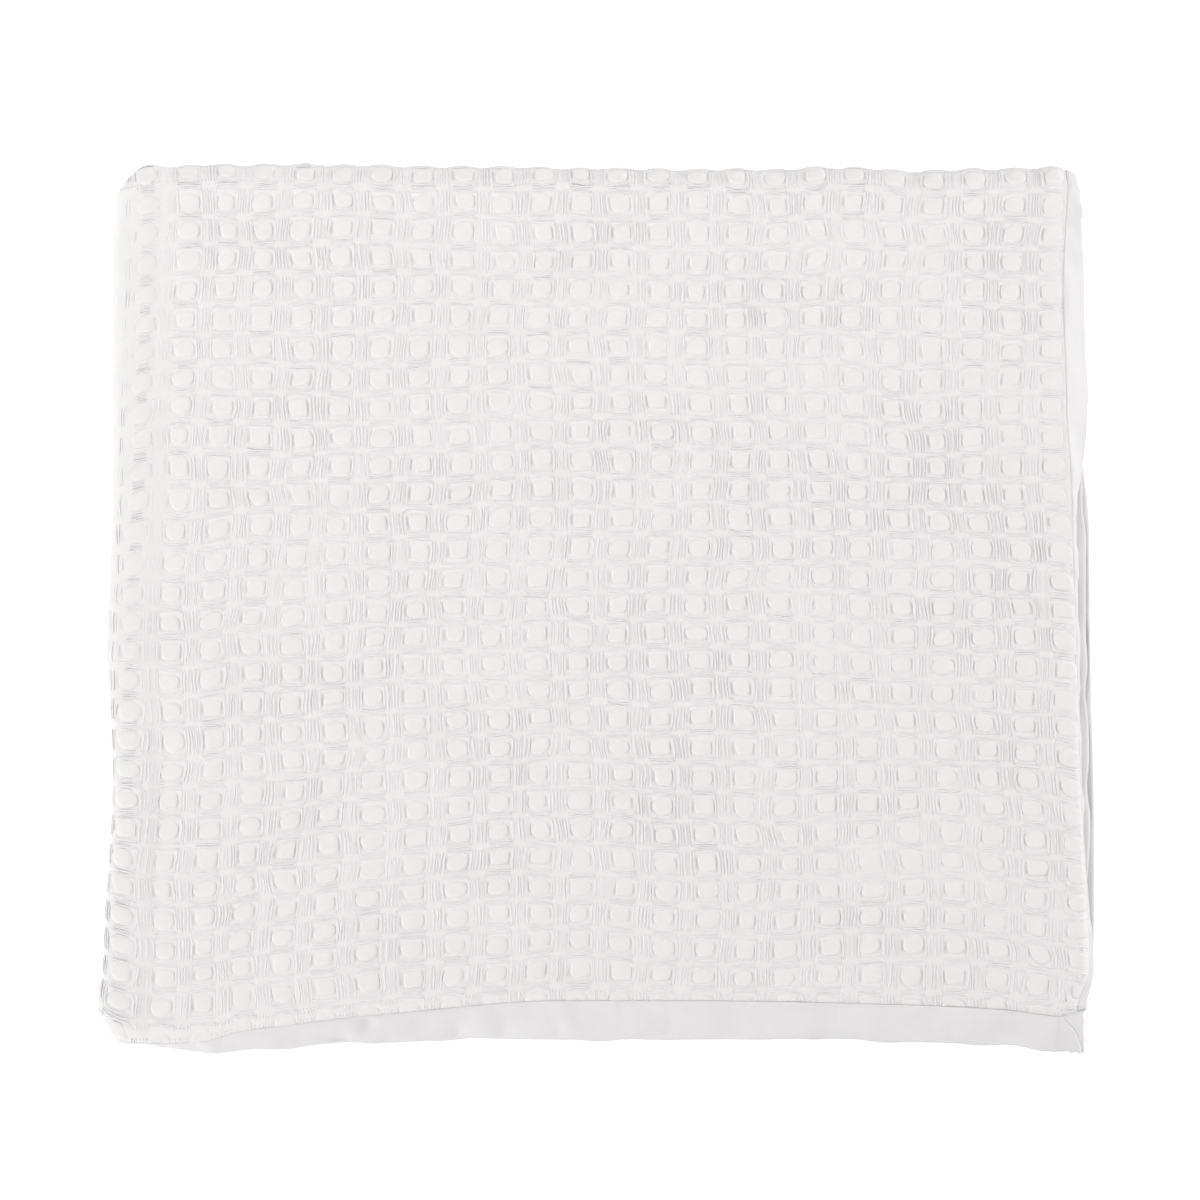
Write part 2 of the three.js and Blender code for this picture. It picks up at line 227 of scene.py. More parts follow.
def sideShape(at):
    # The stack's sides at a station: the left fold's outside and depths, and the right side's hang
    side = {column: read(sides, "at", column, at) for column in ("edge", "seamAt", "width")}
    side["plump"] = read(plumpness, "at", "share", at)
    side["outside"] = read(sides, "at", "left", at) + cloth["thickness"] / 2
    side["crest"] = lerp(flatFoldDepth, foldCrest, side["plump"])
    side["base"] = lerp(flatFoldDepth, lowerFoldDepth, side["plump"])
    side["angle"] = np.radians(read(sides, "at", "angle", at))
    hang = side["seamAt"] + side["width"]
    rim, _ = bent(hang, cloth["sideBend"], side["angle"], cloth["bindingThickness"] / 2)
    side["hinge"] = side["edge"] - rim
    return side


def clothMiddle(place, at):
    # A point on the middle of the cloth. place is -2 at the upper leaf's edge, -1 at its seam, 0 to
    # 1 round the left fold, 2 at the lower leaf's seam and 3 at its edge.
    place, at = np.broadcast_arrays(np.asarray(place, float), np.asarray(at, float))
    side = sideShape(at)
    half = cloth["leafSpacing"] / 2
    toSeam = side["seamAt"] * (turnPlace - np.maximum(place, -1)) / (turnPlace + 1)
    beyondSeam = np.maximum(0, -1 - place) * side["width"]
    out, down = bent(np.maximum(toSeam + beyondSeam, 0), cloth["sideBend"], side["angle"], 0)
    flatX = lerp(side["outside"] + side["crest"], side["hinge"], place / turnPlace)
    fromFold = flatX - side["outside"] - side["crest"]
    ridge = read(leftRidge, "x", "height", fromFold + foldCrest) * side["plump"]
    turn = np.clip(place, 0, 1) * np.pi
    depth = np.where(place < 0.5, side["crest"], side["base"])
    foldX = side["outside"] + depth * (1 - np.sin(turn))
    foldTop = half + leftRidge["height"][0] * side["plump"]
    foldOffset = lerp(-half, foldTop, (1 + np.cos(turn)) / 2)
    lowerSeam = read(sides, "at", "lowerEdge", at) - cloth["bindingWidth"]
    lowerX = lerp(side["outside"] + side["base"], lowerSeam, place - 1)
    beyond = lowerSeam + (place - 2) * cloth["bindingWidth"]
    pick = [place < turnPlace, place < 0, place <= 1, place <= 2]
    x = np.select(pick, [side["hinge"] + out, flatX, foldX, lowerX], beyond)
    offset = np.select(pick[:3], [half - down, half + ridge, foldOffset], -half)
    return alongStack(at, x, offset)


def alongStack(at, x, offset):
    # The same point once the leaves are folded in thirds. offset is its height over the leaves' middle.
    hinge = read(nearHem, "x", "hinge", x)
    seamAt = read(nearHem, "x", "seamAt", x)
    width = read(nearHem, "x", "width", x)
    angle = np.radians(read(nearHem, "x", "angle", x))
    far = read(folds, "x", "far", x) - foldReach
    near = read(folds, "x", "near", x) + foldReach
    seam = read(folds, "x", "hiddenSeam", x)
    length = np.where(at > -1, -at * seamAt, seamAt + (-1 - at) * width)
    out, down = bent(np.maximum(length, 0), cloth["hemBend"], angle, offset)
    farTurn = np.clip(at - 1, 0, 1) * np.pi
    farRadius = foldRadius + offset
    nearTurn = np.clip(at - 3, 0, 1) * np.pi
    nearRadius = foldRadius - offset
    pick = [at < 0, at <= 1, at < 2, at <= 3, at < 4, at <= 5]
    y = np.select(pick, [
        hinge - out,
        lerp(hinge, far, at),
        far + farRadius * np.sin(farTurn),
        lerp(far, near, at - 2),
        near - nearRadius * np.sin(nearTurn),
        lerp(near, seam, at - 4),
    ], seam + (at - 5) * cloth["bindingWidth"])
    z = np.select(pick[:5], [
        topPanel - down,
        topPanel + offset,
        (topPanel + middlePanel) / 2 + farRadius * np.cos(farTurn),
        middlePanel - offset,
        (middlePanel + bottomPanel) / 2 + nearRadius * np.cos(nearTurn),
    ], bottomPanel + offset)
    return np.stack([x, y, z + rumpleHeight(x, y, at, offset)], -1)


def rumpleHeight(x, y, at, offset):
    # The soft swells of the upper leaf, which fade out past the folds
    shown = np.clip(offset / (cloth["leafSpacing"] / 2), 0, 1)
    fade = shown * np.clip(at / rumpleFadeIn + 1, 0, 1) * np.clip((1 - at) / rumpleFadeOut + 1, 0, 1)
    total = np.zeros_like(x)
    for i in range(len(rumples["x"])):
        turn = np.radians(rumples["turn"][i])
        dx = x - rumples["x"][i]
        dy = y - rumples["y"][i]
        u = (dx * np.cos(turn) + dy * np.sin(turn)) / rumples["along"][i]
        v = (dy * np.cos(turn) - dx * np.sin(turn)) / rumples["across"][i]
        total += rumples["height"][i] * np.exp(-(u * u + v * v))
    return total * fade


normalStep = 0.002  # how far apart the points are that the cloth's slope is taken from


def clothPoint(place, at, lift):
    # A point at a height over the middle of the cloth, on its outer side
    step = normalStep
    along = clothMiddle(place, at + step) - clothMiddle(place, at - step)
    across = clothMiddle(place + step, at) - clothMiddle(place - step, at)
    normal = np.cross(along, across)
    normal /= np.linalg.norm(normal, axis=-1, keepdims=True)
    return clothMiddle(place, at) + normal * np.asarray(lift)[..., None]


# The waffle pattern: column 0 is the first column of pads beside the left fold, row 0 the pads
# nearest the hem. first and last are where the outer columns lie, by station.
waffle = {
    "columns": 24,
    "columnPitch": 26.8,
    "rowPitch": 18.5,
    "rowStart": 0.65,
    "hemRow": -0.36,
    "farRow": 30.4,  # the far fold's middle
    "seamPress": 4.0,  # how far from a seam the weave is pressed down
    "seamLift": 1.3,
    "foldRelief": 0.4,  # the share of the relief left on the left fold, in its far half
    "nearFoldRelief": 0.9,  # and near the hem
    "nearFoldRows": 6,  # how many rows that is
    "nearFoldFade": 12,  # and how many it takes to change
    "foldEase": 1.2,  # how many columns the relief takes to grow to all of it
    "reliefDrift": 0.25,
}
columnLines = table(
    "at first last",
    (-1, -313, 313.5),
    (0, -312, 312.6),
    (0.085, -310.5, 311.7),
    (0.153, -309, 310.7),
    (0.25, -307, 308.1),
    (0.337, -305.4, 305.5),
    (0.422, -303.6, 303.6),
    (0.545, -301, 301.6),
    (0.63, -299.4, 298.7),
    (0.863, -294.8, 295.8),
    (1, -293.4, 295.8),
    (2, -293.4, 295.8),
)
# Rows counted from the near hem's hinge, and the stations they are at
rowKnots = [waffle["hemRow"], 0, 28.3, waffle["farRow"], 58.4, 60.5, 87.5]
stationKnots = [-1, 0, 1, 2, 3, 4, 5]
foldLength = {"plump": 34.0, "flat": 19.0}  # of the left fold, round the outside of the cloth


def waffleSpot(u, v):
    # The place and station of a point in the upper leaf's pattern, counted in columns and rows
    at = np.interp(v, rowKnots, stationKnots)
    first = read(columnLines, "at", "first", at)
    last = read(columnLines, "at", "last", at)
    x = lerp(first, last, u / (waffle["columns"] - 1))
    side = sideShape(at)
    hinge = side["hinge"]
    foldEnd = side["outside"] + side["crest"]
    flat = turnPlace * (x - side["outside"] - side["crest"]) / (hinge - side["outside"] - side["crest"])
    folded = (foldEnd - x) / lerp(foldLength["flat"], foldLength["plump"], side["plump"])
    flap = turnPlace - (x - hinge) / side["seamAt"] * (turnPlace + 1)
    place = np.where(x > hinge, np.maximum(flap, -1), np.where(x < foldEnd, folded, flat))
    toSeam = np.minimum(hinge + side["seamAt"] - x, (v - waffle["hemRow"]) * waffle["rowPitch"])
    return place, at, toSeam


# The lower leaf's columns, counted from the left fold, and how many of them go round that fold
lowerWaffle = {"columns": 22.8, "foldColumns": 0.7, "bed": 1.6}


def lowerSpot(u, v):
    # The same for the lower leaf, which is the outside of the near fold and the underside
    at = np.interp(v, rowKnots, stationKnots)
    place = 1 + u / np.where(u < 0, lowerWaffle["foldColumns"], lowerWaffle["columns"])
    toRight = (lowerWaffle["columns"] - u) * waffle["columnPitch"]
    toEnd = (rowKnots[-1] - v) * waffle["rowPitch"]
    return place, at, np.minimum(toRight, toEnd)


def flattened(lift, toSeam):
    # Heights over the cloth, pressed down where the binding is sewn on
    share = np.clip(toSeam / waffle["seamPress"], 0, 1)
    return lerp(waffle["seamLift"], lift, share * (2 - share))


def eased(lift, u, v, sink):
    # Heights over the cloth, uneven all over and smoother toward the left fold, where the weave is
    # stretched. sink is how far a shape goes down into the cloth where it is smoothest.
    farther = np.clip((v - waffle["nearFoldRows"]) / waffle["nearFoldFade"], 0, 1)
    onFold = lerp(waffle["nearFoldRelief"], waffle["foldRelief"], farther)
    share = lerp(onFold, 1, np.clip(u / waffle["foldEase"], 0, 1))
    uneven = 1 - waffle["reliefDrift"] * (0.5 + reliefDrift.at(u, v))
    return lerp(body["plain"], lift, share * uneven) - sink * (1 - share) + bulges(u, v)


# Bulges that scallop the far fold, one for each column, and the left fold, one for each row
bulge = {
    "farHeight": 1.2,
    "farRow": 29.1,
    "farReach": 0.9,
    "farUneven": 0.6,
    "leftHeight": 0.5,
    "leftNearHeight": 1.6,
    "leftColumn": -0.35,
    "leftReach": 0.35,
    "leftUneven": 0.5,
    "nearRows": 3.0,
}


def bulges(u, v):
    fromRow = v - waffle["rowStart"]
    columnWave = 0.5 + 0.5 * np.cos(2 * np.pi * u) + bulge["farUneven"] * bulgeDrift.at(u, 7)
    rowWave = 0.5 + 0.5 * np.cos(2 * np.pi * fromRow) + bulge["leftUneven"] * bulgeDrift.at(v, 3)
    far = bulge["farHeight"] * columnWave * np.exp(-((v - bulge["farRow"]) / bulge["farReach"]) ** 2)
    height = lerp(bulge["leftNearHeight"], bulge["leftHeight"], np.clip(v / bulge["nearRows"], 0, 1))
    return far + height * rowWave * np.exp(-((u - bulge["leftColumn"]) / bulge["leftReach"]) ** 2)


# Drifts, each by its seed and its cell size, and how far it pulls the pattern out of line
driftAcross = (Drift(3, 1.3), 0.085), (Drift(4, 4.5), 0.12)
driftAlong = (Drift(5, 1.3), 0.09), (Drift(6, 5.0), 0.16)
reliefDrift = Drift(7, 2.2)
bulgeDrift = Drift(8, 0.8)
# Near its edges the pattern stays in line: how many rows or columns that takes, and where it starts
steady = {"rows": 1.5, "columns": 1.2, "firstColumn": -0.3, "lastColumn": 23.6}


def warped(u, v):
    # The pattern's columns and rows, pulled a little out of line as washed cloth is
    edge = np.clip((v - waffle["hemRow"]) / steady["rows"], 0, 1)
    edge = edge * np.clip((u - steady["firstColumn"]) / steady["columns"], 0, 1)
    edge = edge * np.clip((steady["lastColumn"] - u) / steady["columns"], 0, 1)
    du = sum(size * drift.at(u, v) for drift, size in driftAcross)
    dv = sum(size * drift.at(u, v) for drift, size in driftAlong)
    return u + du * edge, v + dv * edge


# Meshes
def sheetFaces(columns, rows):
    # The faces of a closed sheet. Point 2 * (i * (rows + 1) + j) is outside, the next one inside.
    i, j = np.meshgrid(np.arange(columns), np.arange(rows), indexing="ij")

    def at(i, j, inner):
        return (2 * (i * (rows + 1) + j) + inner).ravel()

    outer = np.stack([at(i, j, 0), at(i, j + 1, 0), at(i + 1, j + 1, 0), at(i + 1, j, 0)], 1)
    inner = np.stack([at(i + 1, j, 1), at(i + 1, j + 1, 1), at(i, j + 1, 1), at(i, j, 1)], 1)
    i = np.arange(columns)
    j = np.arange(rows)
    start = i * 0
    left = np.stack([at(0, j + 1, 0), at(0, j, 0), at(0, j, 1), at(0, j + 1, 1)], 1)
    right = np.stack([at(columns, j, 0), at(columns, j + 1, 0), at(columns, j + 1, 1), at(columns, j, 1)], 1)
    near = np.stack([at(i, start, 0), at(i + 1, start, 0), at(i + 1, start, 1), at(i, start, 1)], 1)
    far = np.stack([at(i + 1, start + rows, 0), at(i, start + rows, 0),
                    at(i, start + rows, 1), at(i + 1, start + rows, 1)], 1)
    return np.concatenate([outer, inner, left, right, near, far])


floorGap = 0.03  # how far everything stays above the floor


def addPiece(name, node, material, points, faces, spots):
    # A smooth mesh piece. spots are each point's own place on the cloth, as its texture map.
    points[..., 2] = np.maximum(points[..., 2], floorGap)
    mesh = bpy.data.meshes.new(name)
    mesh.from_pydata((points.reshape(-1, 3) * millimetre).tolist(), [], faces)
    layer = mesh.uv_layers.new(name="cloth")
    corners = np.zeros(len(mesh.loops), int)
    mesh.loops.foreach_get("vertex_index", corners)
    layer.data.foreach_set("uv", (spots.reshape(-1, 2)[corners] * millimetre).ravel())
    mesh.polygons.foreach_set("use_smooth", [True] * len(mesh.polygons))
    mesh.materials.append(material)
    mesh.update()
    piece = bpy.data.objects.new(name, mesh)
    bpy.context.collection.objects.link(piece)
    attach(piece, "root")
    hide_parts(node)
    print("made", name, len(mesh.polygons), "faces")
    return piece


# Materials
weaveLook = {
    "distortion": 1.6,  # of the rows of threads
    "detail": 2.0,
    "detailScale": 0.6,
    "fibres": 900.0,  # loose fibres to a metre, and their detail
    "fibreDetail": 3.0,
    "mottling": 45.0,  # paler and darker patches to a metre, and their detail
    "mottleDetail": 4.0,
}


def weaveGroup():
    # Threads over and under each other, and loose fibres, from a texture map in metres
    tree = bpy.data.node_groups.new("cottonWeave", "ShaderNodeTree")
    sockets = tree.interface
    sockets.new_socket("Map", in_out="INPUT", socket_type="NodeSocketVector")
    sockets.new_socket("Threads", in_out="INPUT", socket_type="NodeSocketFloat")
    sockets.new_socket("Light", in_out="INPUT", socket_type="NodeSocketColor")
    sockets.new_socket("Dark", in_out="INPUT", socket_type="NodeSocketColor")
    sockets.new_socket("Speckle", in_out="INPUT", socket_type="NodeSocketFloat")
    sockets.new_socket("Color", in_out="OUTPUT", socket_type="NodeSocketColor")
    sockets.new_socket("Height", in_out="OUTPUT", socket_type="NodeSocketFloat")
    nodes = tree.nodes
    link = tree.links.new
    inside = nodes.new("NodeGroupInput")
    outside = nodes.new("NodeGroupOutput")
    scaled = nodes.new("ShaderNodeVectorMath")
    scaled.operation = "SCALE"
    link(inside.outputs["Map"], scaled.inputs[0])
    link(inside.outputs["Threads"], scaled.inputs["Scale"])
    waves = []
    for direction in ("X", "Y"):
        wave = nodes.new("ShaderNodeTexWave")
        wave.bands_direction = direction
        wave.inputs["Scale"].default_value = 1.0
        wave.inputs["Distortion"].default_value = weaveLook["distortion"]
        wave.inputs["Detail"].default_value = weaveLook["detail"]
        wave.inputs["Detail Scale"].default_value = weaveLook["detailScale"]
        link(scaled.outputs[0], wave.inputs["Vector"])
        waves.append(wave)
    threads = nodes.new("ShaderNodeMath")
    threads.operation = "MULTIPLY"
    link(waves[0].outputs["Fac"], threads.inputs[0])
    link(waves[1].outputs["Fac"], threads.inputs[1])
    fibres = nodes.new("ShaderNodeTexNoise")
    fibres.inputs["Scale"].default_value = weaveLook["fibres"]
    fibres.inputs["Detail"].default_value = weaveLook["fibreDetail"]
    link(inside.outputs["Map"], fibres.inputs["Vector"])
    height = nodes.new("ShaderNodeMath")
    height.operation = "ADD"
    link(threads.outputs[0], height.inputs[0])
    link(fibres.outputs["Fac"], height.inputs[1])
    link(height.outputs[0], outside.inputs["Height"])
    mottle = nodes.new("ShaderNodeTexNoise")
    mottle.inputs["Scale"].default_value = weaveLook["mottling"]
    mottle.inputs["Detail"].default_value = weaveLook["mottleDetail"]
    link(inside.outputs["Map"], mottle.inputs["Vector"])
    tone = nodes.new("ShaderNodeMix")
    link(inside.outputs["Speckle"], tone.inputs["Factor"])
    link(mottle.outputs["Fac"], tone.inputs["A"])
    link(fibres.outputs["Fac"], tone.inputs["B"])
    blend = nodes.new("ShaderNodeMix")
    blend.data_type = "RGBA"
    link(tone.outputs["Result"], blend.inputs["Factor"])
    link(inside.outputs["Light"], blend.inputs["A"])
    link(inside.outputs["Dark"], blend.inputs["B"])
    link(blend.outputs["Result"], outside.inputs["Color"])
    return tree


weave = weaveGroup()


def cotton(name, look):
    # A matt cotton material
    material = bpy.data.materials.new(name)
    material.use_nodes = True
    nodes = material.node_tree.nodes
    link = material.node_tree.links.new
    shader = nodes["Principled BSDF"]
    shader.inputs["Roughness"].default_value = look["roughness"]
    shader.inputs["Specular IOR Level"].default_value = look["specular"]
    place = nodes.new("ShaderNodeUVMap")
    place.uv_map = "cloth"
    group = nodes.new("ShaderNodeGroup")
    group.node_tree = weave
    group.inputs["Threads"].default_value = look["threads"]
    group.inputs["Speckle"].default_value = look["speckle"]
    group.inputs["Light"].default_value = (*look["light"], 1)
    group.inputs["Dark"].default_value = (*look["dark"], 1)
    link(place.outputs["UV"], group.inputs["Map"])
    link(group.outputs["Color"], shader.inputs["Base Color"])
    bump = nodes.new("ShaderNodeBump")
    bump.inputs["Strength"].default_value = look["relief"]
    bump.inputs["Distance"].default_value = look["depth"]
    link(group.outputs["Height"], bump.inputs["Height"])
    link(bump.outputs["Normal"], shader.inputs["Normal"])
    return material


# Warm white pads, and floats and bindings with a trace of lilac, as in the photo
waffleLook = {
    "threads": 550.0,
    "speckle": 0.6,
    "light": (0.94, 0.928, 0.922),
    "dark": (0.825, 0.812, 0.805),
    "relief": 0.4,
    "depth": 0.00025,
    "roughness": 0.95,
    "specular": 0.15,
}
floatLook = dict(waffleLook, light=(0.915, 0.9, 0.908), dark=(0.81, 0.795, 0.803), depth=0.0002)
bindingLook = {
    "threads": 900.0,
    "speckle": 0.4,
    "light": (0.91, 0.892, 0.901),
    "dark": (0.81, 0.792, 0.801),
    "relief": 0.5,
    "depth": 0.0002,
    "roughness": 0.9,
    "specular": 0.2,
}
waffleCotton = cotton("waffle_cotton", waffleLook)
floatCotton = cotton("float_cotton", floatLook)
plainCotton = cotton("plain_cotton", bindingLook)
print("materials made")

random = np.random.default_rng(11)
fullTurn = 6.28  # in radians, for how far round a shape's wobble or wave starts

# The cloth's body: a sheet whose outer face is the bed that the pads and floats lie on
body = {
    "gap": 1.3,
    "longBed": 2.15,
    "crossBed": 2.05,
    "squareBed": 2.15,
    "plain": 2.2,
    "inner": -2.4,
    "gapLevel": 0.2,  # shares of a cell: the gap beside a pad is level up to here, then where it
    # ends, and where the bed is level again
    "gapWide": 0.265,
    "bedWide": 0.295,
    "gapTall": 0.13,
    "bedTall": 0.25,
    "firstColumn": -0.5,
    "lastColumn": 23.3,
    "fineFrom": 22,  # from this column on, lines this close together follow the side's bend
    "fineStep": 0.1,
}


# Flat lengths from the near hinge and from the left fold, for the texture map
mapAlong = table("at length", (-2, -32), (-1, -7), (0, 0), (1, 523), (2, 560), (3, 1080), (4, 1118),
                 (5, 1640), (6, 1665))
mapAcross = table("place length", (-2, -650), (-1, -620), (0, 0), (1, 38), (2, 640), (3, 665))


def pieceSpots(place, at):
    # A texture map in millimetres for places and stations
    along = np.interp(at, mapAlong["at"], mapAlong["length"])
    across = np.interp(place, mapAcross["place"], mapAcross["length"])
    return np.stack(np.broadcast_arrays(across, along), -1)


def bedHeight(u, v):
    # The body's height under the pattern: low beside the pads, higher under the floats and squares
    du = np.abs(u - np.round(u))
    dv = v - waffle["rowStart"]
    dv = np.abs(dv - np.round(dv))
    beside = np.clip((du - body["gapWide"]) / (body["bedWide"] - body["gapWide"]), 0, 1)
    between = np.clip((dv - body["gapTall"]) / (body["bedTall"] - body["gapTall"]), 0, 1)
    bed = lerp(lerp(body["gap"], body["crossBed"], between),
               lerp(body["longBed"], body["squareBed"], between), beside)
    return eased(bed, u, v, 0)


def cellLines(first, last, shares):
    # Grid lines at shares of each cell, on both sides of its middle
    shares = np.array(shares)
    each = np.concatenate([[-0.5], -shares[::-1], shares])
    return (np.arange(first, last)[:, None] + each).ravel()


# Grid lines outside the pattern: rows by the hem, shares of the way from the seam to the first
# column, and how many steps there are in each plain stretch
bodyLines = {"hem": (-0.27, -0.15), "flap": (0, 0.3, 0.65), "fold": 13, "lowerLeaf": 23, "middlePanel": 20,
             "nearFold": 11, "bottomPanel": 22}


def steps(first, last, count):
    # Evenly spaced values from past first up to last
    return np.linspace(first, last, count + 1)[1:]


def clothBody():
    # The grid runs from the right seam to the lower leaf's seam, and from the near seam to the far end
    u = cellLines(-1, waffle["columns"], (body["gapLevel"], body["gapWide"], body["bedWide"]))
    fine = np.arange(body["fineFrom"], body["lastColumn"], body["fineStep"])
    u = np.unique(np.round(np.concatenate([u, fine]), 3))
    u = u[(u >= body["firstColumn"]) & (u <= body["lastColumn"])][::-1]
    v = cellLines(-1, 31, (body["gapTall"], body["bedTall"])) + waffle["rowStart"]
    v = v[(v > -0.1) & (v < waffle["farRow"] - 0.1)]
    v = np.concatenate([[waffle["hemRow"], *bodyLines["hem"]], v, [waffle["farRow"]]])
    u, v = np.meshgrid(u, v, indexing="ij")
    place, at, toSeam = waffleSpot(*warped(u, v))
    bed = flattened(bedHeight(u, v), toSeam)
    at[:, 0] = -1
    at[:, -1] = 2
    flap = [lerp(-1, place[:1], share) for share in bodyLines["flap"]]
    place = np.concatenate([*flap, place])
    at = np.concatenate([at[:1]] * len(flap) + [at])
    bed = np.concatenate([np.full_like(bed[:1], waffle["seamLift"])] + [bed[:1]] * (len(flap) - 1) + [bed])
    left = place[-1:]
    folded = [lerp(left, 1, share) for share in steps(0, 1, bodyLines["fold"])]
    lower = [np.full_like(left, share) for share in steps(1, 2, bodyLines["lowerLeaf"])]
    place = np.concatenate([place, *folded, *lower])
    at = np.concatenate([at] + [at[-1:]] * (len(folded) + len(lower)))
    plain = np.full_like(left, body["plain"])
    smoothed = [lerp(bed[-1:], plain, share) for share in np.linspace(0, 1, len(folded))]
    bed = np.concatenate([bed] + smoothed + [plain] * len(lower))
    stations = np.concatenate([steps(2, 3, bodyLines["middlePanel"]), steps(3, 4, bodyLines["nearFold"]),
                               steps(4, 5, bodyLines["bottomPanel"])])
    ending = np.repeat(place[:, -1:], len(stations), axis=1)
    place = np.concatenate([place, ending], axis=1)
    at = np.concatenate([at, np.repeat(stations[None], len(at), axis=0)], axis=1)
    bed = np.concatenate([bed, np.full(ending.shape, lowerWaffle["bed"])], axis=1)
    outer = clothPoint(place, at, bed)
    inner = clothPoint(place, at, np.full_like(place, body["inner"]))
    points = np.stack([outer, inner], 2)
    spots = np.repeat(pieceSpots(place, at)[:, :, None], 2, axis=2)
    faces = sheetFaces(place.shape[0] - 1, place.shape[1] - 1).tolist()
    return addPiece("waffle_body", "waffle_cloth", waffleCotton, points, faces, spots)


waffleBody = clothBody()


def patternPoints(upper, u, v, across, along, lift, sink):
    # Points lifted over a leaf at millimetre offsets from pattern spots, and their texture map
    u = u + across / waffle["columnPitch"]
    v = v + along / waffle["rowPitch"]
    if upper:
        u, v = warped(u, v)
        lift = eased(lift, u, v, sink)
        place, at, toSeam = waffleSpot(u, np.maximum(v, waffle["hemRow"] + 0.01))
    else:
        place, at, toSeam = lowerSpot(u, v)
    spots = np.stack([u * waffle["columnPitch"], v * waffle["rowPitch"]], -1)
    return clothPoint(place, at, flattened(lift, toSeam)), spots


def cells(columns, rows, uShift, vShift):
    # The pattern spots of every cell in a range of columns and rows, as two flat lists
    column, row = np.meshgrid(np.arange(*columns), np.arange(*rows), indexing="ij")
    return column.ravel() + uShift, row.ravel() + vShift + waffle["rowStart"]


def repeated(faces, times, size):
    # The same faces for each of many equal shapes, size points apart
    shapes = {}
    for face in faces:
        shapes.setdefault(len(face), []).append(face)
    result = []
    for shape in shapes.values():
        block = np.array(shape)[None] + (np.arange(times) * size)[:, None, None]
        result += block.reshape(-1, block.shape[-1]).tolist()
    return result


# How far pillows' outlines swell in three places and in two, and how far they reach below the rim
pillow = {"threeLobes": 0.035, "twoLobes": 0.025, "below": 0.2}


def pillows(name, upper, u, v, sizes, rings, sideCount):
    # Joined pillows. sizes holds a list for each of wide, tall, power, shiftX, shiftY, crown, rim,
    # tilt and wobble. rings gives the share of the outline and of the height at each ring.
    count = len(u)
    angle = np.linspace(0, 2 * np.pi, sideCount, endpoint=False)[None]
    column = {key: np.broadcast_to(value, count)[:, None] for key, value in sizes.items()}
    wobble = column["wobble"]
    power = column["power"]
    radius = (np.abs(np.cos(angle)) ** power + np.abs(np.sin(angle)) ** power) ** (-1 / power)
    swell = pillow["threeLobes"] * np.cos(3 * angle + wobble)
    radius = radius * (1 + swell + pillow["twoLobes"] * np.cos(2 * angle - wobble))
    across = column["wide"] * radius * np.cos(angle)
    along = column["tall"] * radius * np.sin(angle)
    points = []
    for share, height in zip(rings["share"], rings["height"]):
        lift = lerp(column["rim"], column["crown"] - column["tilt"] * along * share, height)
        points.append(np.stack([across * share, along * share, lift], -1))
    zero = np.zeros((count, 1))
    middle = np.stack([zero, zero, column["crown"]], -1)
    below = np.stack([zero, zero, column["rim"] - pillow["below"]], -1)
    local = np.concatenate([*points, middle, below], 1)
    points, spots = patternPoints(upper, u[:, None], v[:, None], local[..., 0] + column["shiftX"],
                                  local[..., 1] + column["shiftY"], local[..., 2], 0)
    top = len(rings["share"]) * sideCount  # the middle's point, after those of all the rings
    faces = []
    for a in range(sideCount):
        b = (a + 1) % sideCount
        for ring in range(0, top - sideCount, sideCount):
            faces.append((ring + a, ring + b, ring + sideCount + b, ring + sideCount + a))
        faces.append((top - sideCount + a, top - sideCount + b, top))
        faces.append((b, a, top + 1))
    faces = repeated(faces, count, local.shape[1])
    return addPiece(name, "waffle_cloth", waffleCotton, points, faces, spots)


# Pads: pillows of plain weave, some round and some square with a straight lower edge
pad = {
    "roundShare": 0.55,
    "roundWide": 7.0,
    "roundTall": 6.4,
    "roundPower": 2.2,  # how square the outline is, where 2 is an ellipse
    "roundTilt": 0.04,
    "squareWide": 6.2,
    "squareTall": 5.8,
    "squarePower": (3.2, 4.6),
    "squareTilt": 0.07,
    "squareRight": 0.5,
    "squareUp": 0.7,
    "crown": 2.65,
    "rim": 1.1,
    "sizes": (0.88, 1.06),
    "strayed": 0.5,
    "crownUneven": 0.15,
    "tiltUneven": 0.02,
    "sides": 16,
}
padRings = table("share height", (1.0, 0.0), (0.98, 0.5), (0.91, 0.86), (0.6, 0.99))


def padSizes(count, crown, rim):
    isRound = random.random(count) < pad["roundShare"]
    tilt = np.where(isRound, pad["roundTilt"], pad["squareTilt"])
    return {
        "wide": np.where(isRound, pad["roundWide"], pad["squareWide"]) * random.uniform(*pad["sizes"], count),
        "tall": np.where(isRound, pad["roundTall"], pad["squareTall"]) * random.uniform(*pad["sizes"], count),
        "power": np.where(isRound, pad["roundPower"], random.uniform(*pad["squarePower"], count)),
        "shiftX": random.normal(0, pad["strayed"], count) + np.where(isRound, 0, pad["squareRight"]),
        "shiftY": random.normal(0, pad["strayed"], count) + np.where(isRound, 0, pad["squareUp"]),
        "crown": crown + random.normal(0, pad["crownUneven"], count),
        "rim": rim,
        "tilt": tilt + random.normal(0, pad["tiltUneven"], count),
        "wobble": random.uniform(0, fullTurn, count),
    }


# The columns that pads are in, the columns of gaps between them, and the rows, by first and past last
padColumns = (-1, waffle["columns"])
gapColumns = (-1, waffle["columns"] - 1)
upperRows = (-1, 30)
u, v = cells(padColumns, upperRows, 0, 0)
sizes = padSizes(len(u), pad["crown"], pad["rim"])
pads = pillows("waffle_pads", True, u, v, sizes, padRings, pad["sides"])

